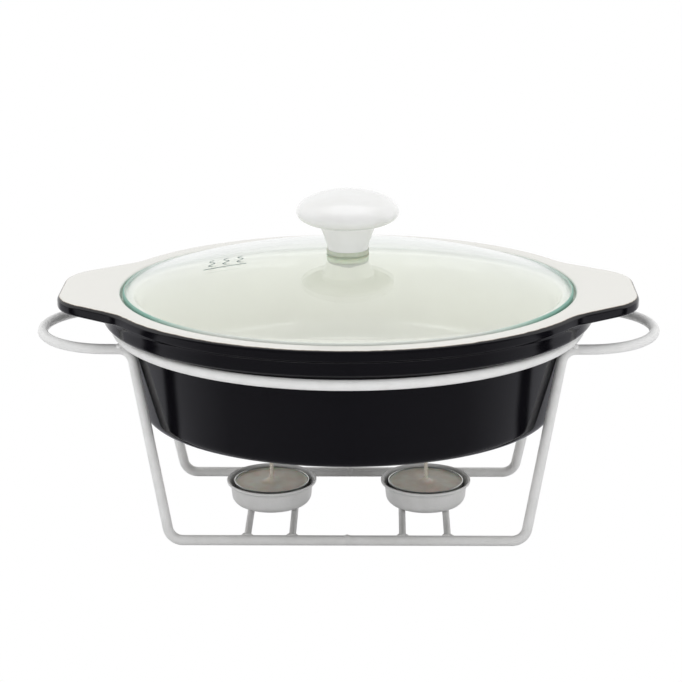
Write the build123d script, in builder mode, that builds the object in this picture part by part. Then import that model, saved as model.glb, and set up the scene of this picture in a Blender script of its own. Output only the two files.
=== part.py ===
from build123d import *
import os

# An oval casserole with a glass lid on a wire warming stand with two tealight cups. Millimetres.
# Origin: the middle of the stand's footprint, on the table. +X is the long axis, +Z is up.

# ------------------------------------------------------------------ driving dimensions

# Stand
WIRE_D = 5.0  # ring, legs, bars and handles
ROD_D = 3.4  # cross rods under the cups
FOOT_X = 86.5  # corner between a bar and a leg
FOOT_Y = 48.1  # front and rear bar
TOP_X = 104.3  # corner between a leg and a handle
TOP_Y = 35.7
HANDLE_Z = 96.3
HANDLE_END_X = 151.5
FOOT_BEND_R = 7.5
TOP_BEND_R = 7.0
HANDLE_BEND_R = 35.5
RING_A = 114.8  # half axes of the ring's centre line
RING_B = 105.0
RING_Z = 100.7
ROD_INNER_X = 27.0
ROD_OUTER_X = 49.0
ROD_Z = 2.9
ROD_BEAD_R = 2.3
ROD_BEAD_BITE = 0.5  # how far a bead's middle sits inside the bar, and above the rod
ROD_BEAD_RISE = 0.7
RING_BEAD_R = 2.9
SEAM_BEAD_R = 2.62
SEAM_BEAD_L = 2.2

# Candle cups
CUP_X = 39.0
CUP_SHEET = 0.8
CUP_BOTTOM_Z = 4.5
CUP_WALL_R = 20.7
CUP_RIM_R = 22.9
CUP_RIM_Z = 16.6

# Tealights
CASE_R = 19.0
CASE_SHEET = 0.4
CASE_BOTTOM_Z = 5.6
CASE_TOP_Z = 16.5
WAX_Z = 15.4
WICK_R = 1.1
WICK_TOP_Z = 28.0
SUSTAINER_R = 6.0
SUSTAINER_T = 0.3
SUSTAINER_NECK_R = 1.7
SUSTAINER_NECK_H = 4.0

# Dish
RIM_A = 122.6  # half axes of the flange, without its ears
RIM_B = 107.3
RIM_Z = 117.5
FLANGE_T = 5.8
EAR_END_X = 142.0
EAR_END_HALF_W = 25.8
EAR_SLOPE = 0.718  # how fast an ear widens towards the oval
EAR_ROOT_X = 90.0
EAR_CORNER_R = 25.0
EAR_ROOT_R = 30.0
COLLAR_INSET = 1.5
SHOULDER_Z = 103.6
BASE_Z = 53.0
WALL_TOP_INSET = 11.3  # the wall's distance inside the flange oval, at the shoulder
WALL_BOTTOM_INSET = 20.4
BASE_EDGE_R = 7.5
FOOT_RING_W = 9.0
FOOT_RING_INSET = 28.5
FOOT_RECESS = 1.0
LEDGE_A = 112.1
LEDGE_B = 98.4
LEDGE_DEPTH = 4.0
CAVITY_TOP_INSET = 18.4
CAVITY_BOTTOM_INSET = 25.2
FLOOR_Z = 60.5
COVE_R = 22.0

# Lid
GLASS_A = 111.0
GLASS_B = 97.4
GLASS_T = 4.0
GLASS_EDGE_Z = 117.8  # top of the glass at its edge
GLASS_APEX_Z = 135.5
GLASS_HOLE_R = 4.5
GASKET_R = 10.4
GASKET_T = 1.8
KNOB_BASE_R = 10.0
KNOB_NECK_R = 10.8
KNOB_NECK_Z = 141.2
KNOB_CREASE_R = 14.2
KNOB_CREASE_Z = 150.2
KNOB_RIM_R = 25.2
KNOB_RIM_Z = 156.0
KNOB_TOP_Z = 166.1
OVAL_HANDLE = 0.5523  # handle length of a cubic curve that follows a quarter oval
INSERT_R = 4.0
INSERT_TOP_Z = 151.0
SCREW_R = 2.0
SCREW_TOP_Z = 149.0
SCREW_HEAD_R = 4.2
SCREW_HEAD_H = 1.8
SCREW_SLOT_L = 4.4  # cross recess in the head
SCREW_SLOT_W = 0.9
SCREW_SLOT_DEPTH = 1.0
LOWER_GASKET_T = 2.0
RETAINER_R = 10.0
RETAINER_T = 1.6

# ------------------------------------------------------------------ derived dimensions

FLANGE_Z = RIM_Z - FLANGE_T
LEDGE_Z = RIM_Z - LEDGE_DEPTH
CUP_FLOOR_Z = CUP_BOTTOM_Z + CUP_SHEET
CASE_FLOOR_Z = CASE_BOTTOM_Z + CASE_SHEET
GLASS_UNDER_Z = GLASS_APEX_Z - GLASS_T
KNOB_BASE_Z = GLASS_APEX_Z + GASKET_T
RETAINER_Z = GLASS_UNDER_Z - LOWER_GASKET_T
HEAD_Z = RETAINER_Z - RETAINER_T

os.makedirs("parts", exist_ok=True)


def save(name, part):
    part.label = name
    export_step(part, f"parts/{name}.step")


# ------------------------------------------------------------------ stand


def side_frame(side):
    """One bent wire: half front bar, leg, handle loop, leg, half rear bar. side is -1 or 1."""
    corners = [
        (0, -FOOT_Y, WIRE_D / 2),
        (side * FOOT_X, -FOOT_Y, WIRE_D / 2),
        (side * TOP_X, -TOP_Y, HANDLE_Z),
        (side * HANDLE_END_X, -TOP_Y, HANDLE_Z),
        (side * HANDLE_END_X, TOP_Y, HANDLE_Z),
        (side * TOP_X, TOP_Y, HANDLE_Z),
        (side * FOOT_X, FOOT_Y, WIRE_D / 2),
        (0, FOOT_Y, WIRE_D / 2),
    ]
    radii = [FOOT_BEND_R, TOP_BEND_R, HANDLE_BEND_R, HANDLE_BEND_R, TOP_BEND_R, FOOT_BEND_R]
    with BuildPart() as frame:
        with BuildLine() as route:
            FilletPolyline(*corners, radius=radii)
        with BuildSketch(Plane(origin=corners[0], z_dir=(side, 0, 0))):
            Circle(WIRE_D / 2)
        sweep(path=route.wires()[0])
    return frame.part


save("left_side_frame", side_frame(-1))
save("right_side_frame", side_frame(1))

with BuildPart() as support_ring:
    with BuildLine(Plane.XY.offset(RING_Z)) as ring_route:
        for half in (0, 180):
            EllipticalCenterArc((0, 0), RING_A, RING_B, start_angle=half, arc_size=180)
    with BuildSketch(Plane(origin=(RING_A, 0, RING_Z), z_dir=(0, 1, 0))):
        Circle(WIRE_D / 2)
    sweep(path=ring_route.wires()[0])
save("support_ring", support_ring.part)

# The rods butt against the inside of the front and rear bars.
rod_places = {
    "left_outer_cross_rod": -ROD_OUTER_X,
    "left_inner_cross_rod": -ROD_INNER_X,
    "right_inner_cross_rod": ROD_INNER_X,
    "right_outer_cross_rod": ROD_OUTER_X,
}
rod_half_length = FOOT_Y - WIRE_D / 2
for rod_name, rod_x in rod_places.items():
    with BuildPart() as cross_rod:
        with BuildSketch(Plane(origin=(rod_x, 0, ROD_Z), z_dir=(0, 1, 0))):
            Circle(ROD_D / 2)
        extrude(amount=rod_half_length, both=True)
    save(rod_name, cross_rod.part)

with BuildPart() as rod_welds:
    for rod_x in rod_places.values():
        for end in (-1, 1):
            with Locations((rod_x, end * (rod_half_length + ROD_BEAD_BITE), ROD_Z + ROD_BEAD_RISE)):
                Sphere(ROD_BEAD_R)
save("rod_welds", rod_welds.part)

# Where the ring crosses a handle wire, seen from above.
crossing_x = RING_A * (1 - (TOP_Y / RING_B) ** 2) ** 0.5
with BuildPart() as ring_welds:
    for side in (-1, 1):
        for end in (-1, 1):
            with Locations((side * crossing_x, end * TOP_Y, RING_Z - WIRE_D / 2)):
                Sphere(RING_BEAD_R)
save("ring_welds", ring_welds.part)

with BuildPart() as bar_seam_welds:
    for end in (-1, 1):
        with BuildSketch(Plane(origin=(0, end * FOOT_Y, SEAM_BEAD_R), z_dir=(1, 0, 0))):
            Circle(SEAM_BEAD_R)
        extrude(amount=SEAM_BEAD_L / 2, both=True)
save("bar_seam_welds", bar_seam_welds.part)


def candle_cup(x):
    """A pressed cup with a rounded bottom edge and a flared rim."""
    with BuildPart() as cup:
        with BuildSketch(Plane(origin=(x, 0, 0), x_dir=(1, 0, 0), z_dir=(0, -1, 0))):
            with BuildLine():
                FilletPolyline(
                    (0, CUP_BOTTOM_Z),
                    (CUP_WALL_R - 1.0, CUP_BOTTOM_Z),
                    (CUP_WALL_R, CUP_RIM_Z - 2.4),
                    (CUP_RIM_R, CUP_RIM_Z),
                    radius=[4.6, 2.0],
                )
                offset(amount=CUP_SHEET, side=Side.LEFT)
            make_face()
        revolve(axis=Axis((x, 0, 0), (0, 0, 1)))
    return cup.part


save("left_candle_cup", candle_cup(-CUP_X))
save("right_candle_cup", candle_cup(CUP_X))

# ------------------------------------------------------------------ tealights


def tealight_case(x):
    """A thin drawn case with a small bottom radius."""
    with BuildPart() as case:
        with BuildSketch(Plane(origin=(x, 0, 0), x_dir=(1, 0, 0), z_dir=(0, -1, 0))):
            with BuildLine():
                FilletPolyline(
                    (0, CASE_BOTTOM_Z),
                    (CASE_R - 0.6, CASE_BOTTOM_Z),
                    (CASE_R, CASE_TOP_Z),
                    radius=[2.4],
                )
                offset(amount=CASE_SHEET, side=Side.LEFT)
            make_face()
        revolve(axis=Axis((x, 0, 0), (0, 0, 1)))
    return case.part


def wick_sustainer(x):
    """A disc on the case's floor with a neck that grips the wick."""
    with BuildPart() as sustainer:
        with Locations((x, 0, CASE_FLOOR_Z)):
            Cylinder(SUSTAINER_R, SUSTAINER_T, align=(Align.CENTER, Align.CENTER, Align.MIN))
            Cylinder(
                SUSTAINER_NECK_R,
                SUSTAINER_NECK_H,
                align=(Align.CENTER, Align.CENTER, Align.MIN),
            )
            Cylinder(
                WICK_R,
                SUSTAINER_NECK_H,
                align=(Align.CENTER, Align.CENTER, Align.MIN),
                mode=Mode.SUBTRACT,
            )
    return sustainer.part


def wick(x):
    """A braided wick that stands on the case's floor."""
    with BuildPart() as braid:
        with Locations((x, 0, CASE_FLOOR_Z)):
            Cylinder(
                WICK_R,
                WICK_TOP_Z - CASE_FLOOR_Z,
                align=(Align.CENTER, Align.CENTER, Align.MIN),
            )
        fillet(braid.edges().sort_by(Axis.Z)[-1], WICK_R / 3)
    return braid.part


def wax_fill(x, case, sustainer, braid):
    """Wax cast in the case, with a low cone that climbs the wick."""
    with BuildPart() as wax:
        with BuildSketch(Plane(origin=(x, 0, 0), x_dir=(1, 0, 0), z_dir=(0, -1, 0))):
            with BuildLine():
                Polyline(
                    (0, CASE_FLOOR_Z),
                    (CASE_R, CASE_FLOOR_Z),
                    (CASE_R, WAX_Z + 0.5),
                    (CASE_R - 2.2, WAX_Z),
                    (5.5, WAX_Z),
                )
                Spline(
                    (5.5, WAX_Z),
                    (WICK_R, WAX_Z + 2.0),
                    tangents=[(-1, 0), (-0.4, 1)],
                )
                Polyline((WICK_R, WAX_Z + 2.0), (0, WAX_Z + 2.0), (0, CASE_FLOOR_Z))
            make_face()
        revolve(axis=Axis((x, 0, 0), (0, 0, 1)))
        # The case's solid outline trims the wax to the case's inside.
        with BuildSketch(Plane(origin=(x, 0, 0), x_dir=(1, 0, 0), z_dir=(0, -1, 0))):
            with BuildLine():
                FilletPolyline(
                    (0, CASE_FLOOR_Z),
                    (CASE_R - 0.6 - CASE_SHEET, CASE_FLOOR_Z),
                    (CASE_R - CASE_SHEET, CASE_TOP_Z),
                    radius=[2.0],
                )
                Polyline(
                    (CASE_R - CASE_SHEET, CASE_TOP_Z),
                    (CASE_R - CASE_SHEET, WAX_Z + 3.0),
                    (0, WAX_Z + 3.0),
                    (0, CASE_FLOOR_Z),
                )
            make_face()
        revolve(axis=Axis((x, 0, 0), (0, 0, 1)), mode=Mode.INTERSECT)
        add(case, mode=Mode.SUBTRACT)
        add(sustainer, mode=Mode.SUBTRACT)
        add(braid, mode=Mode.SUBTRACT)
    return wax.part


for tealight, tealight_x in {"left": -CUP_X, "right": CUP_X}.items():
    case_part = tealight_case(tealight_x)
    sustainer_part = wick_sustainer(tealight_x)
    wick_part = wick(tealight_x)
    wax_part = wax_fill(tealight_x, case_part, sustainer_part, wick_part)
    save(f"{tealight}_tealight_case", case_part)
    save(f"{tealight}_wick_sustainer", sustainer_part)
    save(f"{tealight}_wick", wick_part)
    save(f"{tealight}_wax", wax_part)

# ------------------------------------------------------------------ dish

with BuildPart() as cavity:
    with BuildSketch(Plane.XY.offset(FLOOR_Z)):
        Ellipse(RIM_A - CAVITY_BOTTOM_INSET, RIM_B - CAVITY_BOTTOM_INSET)
    with BuildSketch(Plane.XY.offset(LEDGE_Z)):
        Ellipse(RIM_A - CAVITY_TOP_INSET, RIM_B - CAVITY_TOP_INSET)
    loft()
    fillet(cavity.edges().sort_by(Axis.Z)[0], COVE_R)

with BuildPart() as casserole_dish:
    # The flange: an oval plate with an ear at each end.
    ear_root_half_w = EAR_END_HALF_W + EAR_SLOPE * (EAR_END_X - EAR_ROOT_X)
    with BuildSketch(Plane.XY.offset(FLANGE_Z)):
        Ellipse(RIM_A, RIM_B)
        for side in (-1, 1):
            Polygon(
                (side * EAR_ROOT_X, -ear_root_half_w),
                (side * EAR_END_X, -EAR_END_HALF_W),
                (side * EAR_END_X, EAR_END_HALF_W),
                (side * EAR_ROOT_X, ear_root_half_w),
                align=None,
            )
    extrude(amount=FLANGE_T)
    upright = casserole_dish.edges().filter_by(Axis.Z)
    fillet(upright.filter_by_position(Axis.X, 130, 150), EAR_CORNER_R)
    upright = casserole_dish.edges().filter_by(Axis.Z)
    fillet(upright.filter_by_position(Axis.X, -150, -130), EAR_CORNER_R)
    upright = casserole_dish.edges().filter_by(Axis.Z)
    fillet(upright.filter_by_position(Axis.Y, 45, 56), EAR_ROOT_R)
    upright = casserole_dish.edges().filter_by(Axis.Z)
    fillet(upright.filter_by_position(Axis.Y, -56, -45), EAR_ROOT_R)
    fillet(casserole_dish.edges().group_by(Axis.Z)[-1], 2.0)
    fillet(casserole_dish.edges().group_by(Axis.Z)[0], 1.4)
    # The collar under the flange, whose shoulder rests on the ring.
    with BuildSketch(Plane.XY.offset(SHOULDER_Z)):
        Ellipse(RIM_A - COLLAR_INSET, RIM_B - COLLAR_INSET)
    extrude(amount=FLANGE_Z - SHOULDER_Z + 0.5)
    fillet(casserole_dish.edges().group_by(Axis.Z)[0], 2.6)
    # The body, drawn in towards its rounded base.
    with BuildSketch(Plane.XY.offset(BASE_Z)):
        Ellipse(RIM_A - WALL_BOTTOM_INSET, RIM_B - WALL_BOTTOM_INSET)
    with BuildSketch(Plane.XY.offset(SHOULDER_Z + 1.0)):
        Ellipse(RIM_A - WALL_TOP_INSET, RIM_B - WALL_TOP_INSET)
    loft()
    fillet(casserole_dish.edges().group_by(Axis.Z)[0], BASE_EDGE_R)
    # The ledge for the lid, and the cavity below it.
    with BuildSketch(Plane.XY.offset(LEDGE_Z)):
        Ellipse(LEDGE_A, LEDGE_B)
    extrude(amount=LEDGE_DEPTH, mode=Mode.SUBTRACT)
    add(cavity.part, mode=Mode.SUBTRACT)
    inner_edges = casserole_dish.edges().filter_by_position(Axis.Z, LEDGE_Z - 0.1, LEDGE_Z + 0.1)
    fillet(inner_edges.sort_by(SortBy.LENGTH)[0], 2.0)
    rim_edges = casserole_dish.edges().group_by(Axis.Z)[-1]
    fillet(rim_edges.filter_by(GeomType.ELLIPSE).sort_by(SortBy.LENGTH)[-1], 1.2)
    # The shallow recess inside the foot ring.
    with BuildSketch(Plane.XY.offset(BASE_Z)):
        Ellipse(RIM_A - FOOT_RING_INSET - FOOT_RING_W, RIM_B - FOOT_RING_INSET - FOOT_RING_W)
    extrude(amount=FOOT_RECESS, taper=40, mode=Mode.SUBTRACT)
save("casserole_dish", casserole_dish.part)

# ------------------------------------------------------------------ lid

with BuildPart() as glass_lid:
    # A shallow spherical cap, narrowed to the oval, with ground edges.
    sagitta = GLASS_APEX_Z - GLASS_EDGE_Z
    dome_r = (GLASS_A**2 + sagitta**2) / (2 * sagitta)
    quarter_drop = dome_r - (dome_r**2 - (GLASS_A / 2) ** 2) ** 0.5
    with BuildSketch(Plane.XZ):
        with BuildLine():
            ThreePointArc(
                (0, GLASS_APEX_Z),
                (GLASS_A / 2, GLASS_APEX_Z - quarter_drop),
                (GLASS_A, GLASS_EDGE_Z),
            )
            Line((GLASS_A, GLASS_EDGE_Z), (GLASS_A, GLASS_EDGE_Z - GLASS_T))
            ThreePointArc(
                (GLASS_A, GLASS_EDGE_Z - GLASS_T),
                (GLASS_A / 2, GLASS_UNDER_Z - quarter_drop),
                (0, GLASS_UNDER_Z),
            )
            Line((0, GLASS_UNDER_Z), (0, GLASS_APEX_Z))
        edge_face = make_face()
        fillet(edge_face.vertices().group_by(Axis.X)[-1], 1.3)
    revolve(axis=Axis.Z)
    scale(by=(1, GLASS_B / GLASS_A, 1))
    with Locations((0, 0, GLASS_APEX_Z)):
        Cylinder(GLASS_HOLE_R, 4 * GLASS_T, mode=Mode.SUBTRACT)
save("glass_lid", glass_lid.part)

with BuildPart() as upper_gasket:
    with BuildSketch(Plane.XY.offset(KNOB_BASE_Z)):
        Circle(GASKET_R)
        Circle(SCREW_R + 0.3, mode=Mode.SUBTRACT)
    extrude(amount=-GASKET_T - 0.6)
    add(glass_lid.part, mode=Mode.SUBTRACT)
save("upper_gasket", upper_gasket.part)

with BuildPart() as lower_gasket:
    with BuildSketch(Plane.XY.offset(RETAINER_Z)):
        Circle(GASKET_R)
        Circle(SCREW_R + 0.3, mode=Mode.SUBTRACT)
    extrude(amount=LOWER_GASKET_T)
    add(glass_lid.part, mode=Mode.SUBTRACT)
save("lower_gasket", lower_gasket.part)

with BuildPart() as lid_knob:
    belly_w = KNOB_RIM_R - KNOB_CREASE_R
    belly_h = KNOB_RIM_Z - KNOB_CREASE_Z
    crown_h = KNOB_TOP_Z - KNOB_RIM_Z
    with BuildSketch(Plane.XZ):
        with BuildLine():
            Line((INSERT_R, KNOB_BASE_Z), (KNOB_BASE_R, KNOB_BASE_Z))
            Spline(
                (KNOB_BASE_R, KNOB_BASE_Z),
                (KNOB_NECK_R, KNOB_NECK_Z),
                (KNOB_CREASE_R, KNOB_CREASE_Z),
                tangents=[(0, 1), (0.42, 1)],
            )
            # The head's belly and crown are quarter ovals that meet upright at the rim.
            Bezier(
                (KNOB_CREASE_R, KNOB_CREASE_Z),
                (KNOB_CREASE_R + OVAL_HANDLE * belly_w, KNOB_CREASE_Z),
                (KNOB_RIM_R, KNOB_RIM_Z - OVAL_HANDLE * belly_h),
                (KNOB_RIM_R, KNOB_RIM_Z),
            )
            Bezier(
                (KNOB_RIM_R, KNOB_RIM_Z),
                (KNOB_RIM_R, KNOB_RIM_Z + OVAL_HANDLE * crown_h),
                (OVAL_HANDLE * KNOB_RIM_R, KNOB_TOP_Z),
                (0, KNOB_TOP_Z),
            )
            # The socket that the insert is glued into.
            Polyline(
                (0, KNOB_TOP_Z),
                (0, INSERT_TOP_Z),
                (INSERT_R, INSERT_TOP_Z),
                (INSERT_R, KNOB_BASE_Z),
            )
        make_face()
    revolve(axis=Axis.Z)
save("lid_knob", lid_knob.part)

with BuildPart() as knob_insert:
    with BuildSketch(Plane.XY.offset(KNOB_BASE_Z)):
        Circle(INSERT_R)
        Circle(SCREW_R, mode=Mode.SUBTRACT)
    extrude(amount=INSERT_TOP_Z - KNOB_BASE_Z)
save("knob_insert", knob_insert.part)

with BuildPart() as retaining_washer:
    with BuildSketch(Plane.XY.offset(RETAINER_Z)):
        Circle(RETAINER_R)
        Circle(SCREW_R + 0.3, mode=Mode.SUBTRACT)
    extrude(amount=-RETAINER_T)
    lower_rim = retaining_washer.edges().group_by(Axis.Z)[0].sort_by(SortBy.LENGTH)[-1]
    fillet(lower_rim, RETAINER_T * 0.9)
save("retaining_washer", retaining_washer.part)

with BuildPart() as knob_screw:
    with Locations((0, 0, HEAD_Z)):
        Cylinder(
            SCREW_R,
            SCREW_TOP_Z - HEAD_Z,
            align=(Align.CENTER, Align.CENTER, Align.MIN),
        )
        Cylinder(
            SCREW_HEAD_R,
            SCREW_HEAD_H,
            align=(Align.CENTER, Align.CENTER, Align.MAX),
        )
    fillet(knob_screw.edges().group_by(Axis.Z)[0], SCREW_HEAD_H * 0.55)
    with Locations((0, 0, HEAD_Z - SCREW_HEAD_H)):
        for length, width in ((SCREW_SLOT_L, SCREW_SLOT_W), (SCREW_SLOT_W, SCREW_SLOT_L)):
            Box(length, width, 2 * SCREW_SLOT_DEPTH, mode=Mode.SUBTRACT)
save("knob_screw", knob_screw.part)
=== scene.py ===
"""An oval casserole with a glass lid on a wire warming stand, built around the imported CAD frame. Metres."""

import math

import bmesh
import bpy
import numpy as np
from mathutils import Matrix, Vector, noise


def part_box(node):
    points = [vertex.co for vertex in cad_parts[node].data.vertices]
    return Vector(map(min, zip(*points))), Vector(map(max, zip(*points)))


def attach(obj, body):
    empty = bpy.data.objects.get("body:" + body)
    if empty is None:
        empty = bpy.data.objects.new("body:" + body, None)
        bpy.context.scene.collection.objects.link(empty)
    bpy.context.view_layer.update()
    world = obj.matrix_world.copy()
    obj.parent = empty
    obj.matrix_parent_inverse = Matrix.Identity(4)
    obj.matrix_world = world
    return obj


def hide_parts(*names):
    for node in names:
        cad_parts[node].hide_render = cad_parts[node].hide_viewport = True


MM = 0.001
SIDES = ("left", "right")

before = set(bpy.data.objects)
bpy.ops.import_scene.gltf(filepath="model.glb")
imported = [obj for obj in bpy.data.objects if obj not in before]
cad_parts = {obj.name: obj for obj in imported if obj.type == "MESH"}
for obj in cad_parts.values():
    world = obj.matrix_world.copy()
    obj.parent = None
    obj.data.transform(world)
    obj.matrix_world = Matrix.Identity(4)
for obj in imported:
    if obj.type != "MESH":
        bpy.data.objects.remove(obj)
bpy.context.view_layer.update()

# ------------------------------------------------------------------ sizes, in mm unless a line says otherwise

dish_low, dish_high = (np.array(corner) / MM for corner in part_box("casserole_dish"))
glass_low, glass_high = (np.array(corner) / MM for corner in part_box("glass_lid"))

RIM_Z = dish_high[2]
BASE_Z = dish_low[2]
RIM_A = 122.6  # half width of the flange oval, without its ears
RIM_B = dish_high[1]
FLANGE_T = 5.8
FLANGE_Z = RIM_Z - FLANGE_T
FLANGE_TOP_R = 2.0
FLANGE_BOTTOM_R = 1.4
COLLAR_INSET = 1.5
COLLAR_R = 2.6
SHOULDER_Z = 103.6
WALL_TOP_INSET = 11.5
WALL_BOTTOM_INSET = 20.4
BASE_EDGE_R = 7.5
RECESS_INSET = 37.5
RECESS_DEPTH = 1.0
RECESS_SLOPE = 1.2  # how far in the recess's wall leans
LEDGE_A = 112.1
LEDGE_B = 98.4
LEDGE_DEPTH = 4.0
LEDGE_LIP_R = 1.2
LEDGE_CORNER_R = 0.9
CAVITY_TOP_INSET = 18.4
CAVITY_BOTTOM_INSET = 25.2
CAVITY_LIP_R = 2.0
FLOOR_Z = 60.5
COVE_R = 22.0
GLAZE_LINE_RISE = 2.1  # how far up the rim's rounding the cream glaze starts
GLAZE_REACH = 3.0  # the glaze attribute is cut off this far from the line

GLASS_A = glass_high[0]
GLASS_B = glass_high[1]
GLASS_T = 4.0
GLASS_APEX_Z = glass_high[2]
GLASS_EDGE_Z = 117.8
GLASS_HOLE_R = 4.5
GLASS_EDGE_R = 1.3
GLASS_IOR = 1.50
MARK_X = -60.0
MARK_Y = -1.0
MARK_LINE_W = 0.8
MARK_BAR_W = 1.1
MARK_BAR_HALF = 10.5
MARK_BAR_Y = -7.5
MARK_WAVE_X = 7.0
MARK_WAVE_LOW = -4.5
MARK_WAVE_HIGH = 8.0
MARK_WAVE_SWAY = 1.3
MARK_WAVE_RATE = 0.85  # radians a millimetre
MARK_LIFT = 0.03  # above the glass

WIRE_D = 5.0
FOOT_Y = 48.1  # front and rear bar
TOP_Y = 35.7  # handle wires
RING_A = 114.8
RING_B = 105.0
RING_Z = 100.7
ROD_X = (27.0, 49.0)
ROD_Z = 2.9
SEAM_R = 2.6
# Beads where a rod meets a bar: along the bar, outwards, up, radii and a seed.
ROD_BEADS = (
    (-1.5, 0.0, 0.5, (1.5, 1.6, 1.9), 0.0),
    (1.5, 0.0, 0.4, (1.6, 1.5, 1.8), 0.6),
    (0.1, 0.9, 1.2, (2.6, 1.9, 1.6), 1.1),
    (-1.7, 1.7, 0.9, (1.7, 1.6, 1.7), 2.3),
    (1.9, 1.6, 0.8, (1.6, 1.5, 1.7), 3.7),
)
# Beads where a side frame meets the ring: outwards both ways, up, radii and a seed.
RING_BEADS = (
    (0.0, 0.0, 0.0, (3.3, 2.6, 1.9), 0.0),
    (-1.6, -1.9, 0.3, (1.7, 1.7, 1.5), 5.0),
    (1.4, 1.7, 0.1, (1.8, 1.6, 1.4), 9.0),
)
SEAM_HALF = ((0.0, 2.60), (0.5, 2.59), (1.0, 2.54), (1.5, 2.42))  # along the bar, radius

CUP_X = 39.0
CUP_BOTTOM_Z = 4.5
CUP_SHEET = 0.8
CUP_WALL_R = 20.7
CUP_RIM_R = 22.9
CUP_RIM_Z = 16.6
CUP_AROUND = 144
CUP_SWAY = 0.16  # how far the rim is out of round
CUP_WAVE = 0.12  # how far the rim is out of level
CUP_ROLL = (0.62, 0.55)  # half width and half height of the rolled edge
CASE_R = 19.0
CASE_SHEET = 0.4
CASE_BOTTOM_Z = 5.6
CASE_TOP_Z = 16.5
CASE_FLUTES = 48
CASE_FLUTE_DEPTH = 0.07
CASE_ROLL_R = 0.32
WAX_Z = 15.4
WAX_RIPPLE = 0.16
WICK_TOP_Z = 28.0
WICK_STRANDS = 3
WICK_PITCH = 4.2
STRAND_R = 0.55
STRAND_OFFSET = 0.48
DOME_R = (GLASS_A**2 + (GLASS_APEX_Z - GLASS_EDGE_Z) ** 2) / (2 * (GLASS_APEX_Z - GLASS_EDGE_Z))

AROUND = 288  # points round the dish and the lid


# ------------------------------------------------------------------ mesh tools


def new_piece(name, mesh, material, body):
    """Links a mesh as a smooth piece with its material, riding on a CAD body."""
    piece = bpy.data.objects.new(name, mesh)
    bpy.context.scene.collection.objects.link(piece)
    for part in material if isinstance(material, (list, tuple)) else [material]:
        mesh.materials.append(part)
    for polygon in mesh.polygons:
        polygon.use_smooth = True
    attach(piece, body)
    return piece


def skin(name, rows, close_first=False, close_last=False, loop_rows=False):
    """A mesh over rows of points, each row a closed ring of the same count. Points in mm.

    close_first and close_last end the skin in a pole at the row's middle, and loop_rows joins the
    last row to the first.
    """
    count = len(rows[0])
    points = [tuple(point) for row in rows for point in row]
    faces = []
    pairs = [(i, i + 1) for i in range(len(rows) - 1)]
    if loop_rows:
        pairs.append((len(rows) - 1, 0))
    for low, high in pairs:
        for k in range(count):
            nxt = (k + 1) % count
            faces.append((low * count + k, low * count + nxt, high * count + nxt, high * count + k))
    for end, base in ((close_first, 0), (close_last, (len(rows) - 1) * count)):
        if end:
            pole = len(points)
            points.append(tuple(np.mean(points[base : base + count], axis=0)))
            for k in range(count):
                faces.append((base + (k + 1) % count, base + k, pole))
    mesh = bpy.data.meshes.new(name)
    mesh.from_pydata([tuple(c * MM for c in p) for p in points], [], faces)
    tidy = bmesh.new()
    tidy.from_mesh(mesh)
    bmesh.ops.recalc_face_normals(tidy, faces=tidy.faces)
    tidy.to_mesh(mesh)
    tidy.free()
    return mesh


def arc(centre, radius, start, end, steps):
    """(across, z) points on an arc, with angles in degrees from the outward direction."""
    return [
        (centre[0] + radius * math.cos(a), centre[1] + radius * math.sin(a))
        for a in np.radians(np.linspace(start, end, steps))
    ]


def rounded(corners, radii, steps=8):
    """An (across, z) line through corners, with the inner corners rounded."""
    line = [corners[0]]
    for k, radius in enumerate(radii, start=1):
        corner = np.array(corners[k], float)
        back = np.array(corners[k - 1]) - corner
        ahead = np.array(corners[k + 1]) - corner
        back /= np.linalg.norm(back)
        ahead /= np.linalg.norm(ahead)
        half = math.acos(float(np.clip(back @ ahead, -1, 1))) / 2
        middle = back + ahead
        centre = corner + middle / np.linalg.norm(middle) * radius / math.sin(half)
        first = corner + back * radius / math.tan(half) - centre
        last = corner + ahead * radius / math.tan(half) - centre
        for share in np.linspace(0, 1, steps):
            way = first * (1 - share) + last * share
            line.append(tuple(centre + way / np.linalg.norm(way) * radius))
    line.append(corners[-1])
    return line


def sheet_profile(line, thickness):
    """The closed outline of a sheet: the line, a rounded lip, and the line moved to its left."""
    points = np.array(line, float)
    along = np.gradient(points, axis=0)
    along /= np.linalg.norm(along, axis=1)[:, None]
    left = np.stack([-along[:, 1], along[:, 0]], axis=1)
    inner = points + left * thickness
    middle = (points[-1] + inner[-1]) / 2
    lip = []
    for a in np.linspace(0, math.pi, 7)[1:-1]:
        lip.append(middle - left[-1] * thickness / 2 * math.cos(a) + along[-1] * thickness / 2 * math.sin(a))
    return [tuple(q) for q in points] + [tuple(q) for q in lip] + [tuple(q) for q in inner[::-1]]


def merged(name, meshes):
    """One mesh from several."""
    whole = bmesh.new()
    for mesh in meshes:
        whole.from_mesh(mesh)
    result = bpy.data.meshes.new(name)
    whole.to_mesh(result)
    whole.free()
    return result


def lump(centre, radii, seed, rough=0.14):
    """A small uneven bead."""
    rows = []
    for lift in np.radians(np.linspace(-78, 78, 11)):
        row = []
        for angle in np.linspace(0, 2 * math.pi, 20, endpoint=False):
            way = Vector((math.cos(lift) * math.cos(angle), math.cos(lift) * math.sin(angle), math.sin(lift)))
            reach = 1 - rough * (0.5 + 0.5 * noise.noise(way * 1.7 + Vector((seed * 3.1, seed * 1.7, seed))))
            row.append([centre[k] + radii[k] * reach * way[k] for k in range(3)])
        rows.append(np.array(row))
    return skin("lump", rows, close_first=True, close_last=True)


turn = np.linspace(0, 2 * math.pi, AROUND, endpoint=False)


def oval(a, b, z):
    """A closed oval of AROUND points at a level."""
    return np.stack([a * np.cos(turn), b * np.sin(turn), np.full(AROUND, z)], axis=1)


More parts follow.
